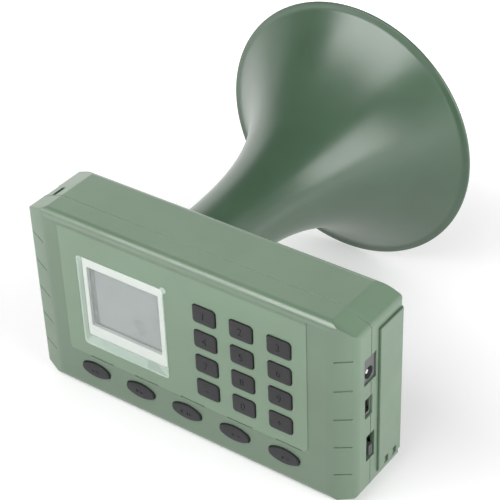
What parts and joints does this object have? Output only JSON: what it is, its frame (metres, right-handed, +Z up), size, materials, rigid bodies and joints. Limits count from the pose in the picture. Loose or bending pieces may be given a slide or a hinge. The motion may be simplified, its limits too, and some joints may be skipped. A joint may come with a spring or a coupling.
{
  "type": "electronic game caller",
  "caption": "Handheld electronic game caller: slim green keypad case with a small display, side sockets, end battery door and a large trumpet horn loudspeaker on its back.",
  "frame": {"origin": "centre of the case's flat underside, midway between its ends and between its front and back", "axes": "+X to the right as seen from the keypad, +Y from the keypad towards the horn's mouth along the horn's axis, +Z up"},
  "size_m": [0.2032, 0.1998, 0.1464],
  "materials": {
    "case_green": "satin sage green moulded ABS",
    "horn_green": "satin dark green moulded plastic",
    "key_rubber": "matt charcoal silicone",
    "dark_plastic": "black moulded plastic",
    "grey_plastic": "dark grey moulded plastic",
    "screen_white": "white screen frame",
    "screen_clear": "clear acrylic",
    "screen_grey": "reflective grey display glass",
    "film": "thin clear film with a mint tint",
    "steel": "zinc plated steel",
    "bright_metal": "bright nickel plate",
    "gold": "gold flash",
    "copper": "enamelled copper winding",
    "ferrite": "sintered ferrite",
    "board": "green solder mask",
    "capacitor": "shrink sleeve",
    "alloy": "extruded aluminium",
    "cell_sleeve": "printed cell sleeve without lettering",
    "foam": "black foam rubber",
    "cone": "black coated paper",
    "lead": "PVC insulated wire"
  },
  "bodies": {
    "case": {"front_cover": "case_green", "rear_casing": "case_green", "case_screws": "steel", "screen_frame": "screen_white", "display_lens": "screen_clear", "display_module": "screen_grey", "protective_film": "film", "keypad_mat": "key_rubber", "key_contacts": "gold", "main_board": "board", "board_chips": "dark_plastic", "board_capacitors": "capacitor", "heat_sink": "alloy", "board_screws": "steel", "dc_jack": "grey_plastic", "dc_jack_pin": "bright_metal", "usb_port": "bright_metal", "usb_tongue": "dark_plastic", "switch_body": "dark_plastic", "door_hinge_pin": "steel", "battery_tray": "dark_plastic", "battery_cells": "cell_sleeve", "battery_contacts": "bright_metal", "battery_springs": "bright_metal", "battery_leads": "lead", "driver_frame": "dark_plastic", "driver_top_plate": "steel", "driver_magnet": "ferrite", "driver_yoke": "steel", "driver_gasket": "foam", "driver_screws": "steel", "speaker_leads": "lead", "horn_bell": "horn_green", "horn_gasket": "foam", "horn_collar": "horn_green", "collar_screws": "steel"},
    "door": {"battery_door": "case_green"},
    "power_slider": {"switch_slider": "grey_plastic"},
    "diaphragm": {"driver_cone": "cone", "voice_coil": "copper"},
    "digit_key_1": {"key_1": "key_rubber"},
    "digit_key_2": {"key_2": "key_rubber"},
    "digit_key_3": {"key_3": "key_rubber"},
    "digit_key_4": {"key_4": "key_rubber"},
    "digit_key_5": {"key_5": "key_rubber"},
    "digit_key_6": {"key_6": "key_rubber"},
    "digit_key_7": {"key_7": "key_rubber"},
    "digit_key_8": {"key_8": "key_rubber"},
    "digit_key_9": {"key_9": "key_rubber"},
    "digit_key_10": {"key_10": "key_rubber"},
    "digit_key_11": {"key_11": "key_rubber"},
    "digit_key_12": {"key_12": "key_rubber"},
    "oval_key_1": {"menu_key_1": "key_rubber"},
    "oval_key_2": {"menu_key_2": "key_rubber"},
    "oval_key_3": {"menu_key_3": "key_rubber"},
    "oval_key_4": {"menu_key_4": "key_rubber"},
    "oval_key_5": {"menu_key_5": "key_rubber"}
  },
  "joints": [
    {"name": "door_hinge", "type": "hinge", "parent": "case", "child": "door", "pos_m": [0.0865, 0.0098, 0.0105], "axis": [0, 1, 0], "range_deg": [0, 85]},
    {"name": "power_slide", "type": "slide", "parent": "case", "child": "power_slider", "axis": [0, 0, 1], "range_m": [0, 0.0045]},
    {"name": "diaphragm_stroke", "type": "slide", "parent": "case", "child": "diaphragm", "axis": [0, 1, 0], "range_m": [-0.0008, 0.0008], "stiffness_N_per_m": 2000},
    {"name": "digit_key_1_press", "type": "slide", "parent": "case", "child": "digit_key_1", "axis": [0, 1, 0], "range_m": [0, 0.001], "stiffness_N_per_m": 1000},
    {"name": "digit_key_2_press", "type": "slide", "parent": "case", "child": "digit_key_2", "axis": [0, 1, 0], "range_m": [0, 0.001], "stiffness_N_per_m": 1000},
    {"name": "digit_key_3_press", "type": "slide", "parent": "case", "child": "digit_key_3", "axis": [0, 1, 0], "range_m": [0, 0.001], "stiffness_N_per_m": 1000},
    {"name": "digit_key_4_press", "type": "slide", "parent": "case", "child": "digit_key_4", "axis": [0, 1, 0], "range_m": [0, 0.001], "stiffness_N_per_m": 1000},
    {"name": "digit_key_5_press", "type": "slide", "parent": "case", "child": "digit_key_5", "axis": [0, 1, 0], "range_m": [0, 0.001], "stiffness_N_per_m": 1000},
    {"name": "digit_key_6_press", "type": "slide", "parent": "case", "child": "digit_key_6", "axis": [0, 1, 0], "range_m": [0, 0.001], "stiffness_N_per_m": 1000},
    {"name": "digit_key_7_press", "type": "slide", "parent": "case", "child": "digit_key_7", "axis": [0, 1, 0], "range_m": [0, 0.001], "stiffness_N_per_m": 1000},
    {"name": "digit_key_8_press", "type": "slide", "parent": "case", "child": "digit_key_8", "axis": [0, 1, 0], "range_m": [0, 0.001], "stiffness_N_per_m": 1000},
    {"name": "digit_key_9_press", "type": "slide", "parent": "case", "child": "digit_key_9", "axis": [0, 1, 0], "range_m": [0, 0.001], "stiffness_N_per_m": 1000},
    {"name": "digit_key_10_press", "type": "slide", "parent": "case", "child": "digit_key_10", "axis": [0, 1, 0], "range_m": [0, 0.001], "stiffness_N_per_m": 1000},
    {"name": "digit_key_11_press", "type": "slide", "parent": "case", "child": "digit_key_11", "axis": [0, 1, 0], "range_m": [0, 0.001], "stiffness_N_per_m": 1000},
    {"name": "digit_key_12_press", "type": "slide", "parent": "case", "child": "digit_key_12", "axis": [0, 1, 0], "range_m": [0, 0.001], "stiffness_N_per_m": 1000},
    {"name": "oval_key_1_press", "type": "slide", "parent": "case", "child": "oval_key_1", "axis": [0, 1, 0], "range_m": [0, 0.001], "stiffness_N_per_m": 1000},
    {"name": "oval_key_2_press", "type": "slide", "parent": "case", "child": "oval_key_2", "axis": [0, 1, 0], "range_m": [0, 0.001], "stiffness_N_per_m": 1000},
    {"name": "oval_key_3_press", "type": "slide", "parent": "case", "child": "oval_key_3", "axis": [0, 1, 0], "range_m": [0, 0.001], "stiffness_N_per_m": 1000},
    {"name": "oval_key_4_press", "type": "slide", "parent": "case", "child": "oval_key_4", "axis": [0, 1, 0], "range_m": [0, 0.001], "stiffness_N_per_m": 1000},
    {"name": "oval_key_5_press", "type": "slide", "parent": "case", "child": "oval_key_5", "axis": [0, 1, 0], "range_m": [0, 0.001], "stiffness_N_per_m": 1000}
  ]
}
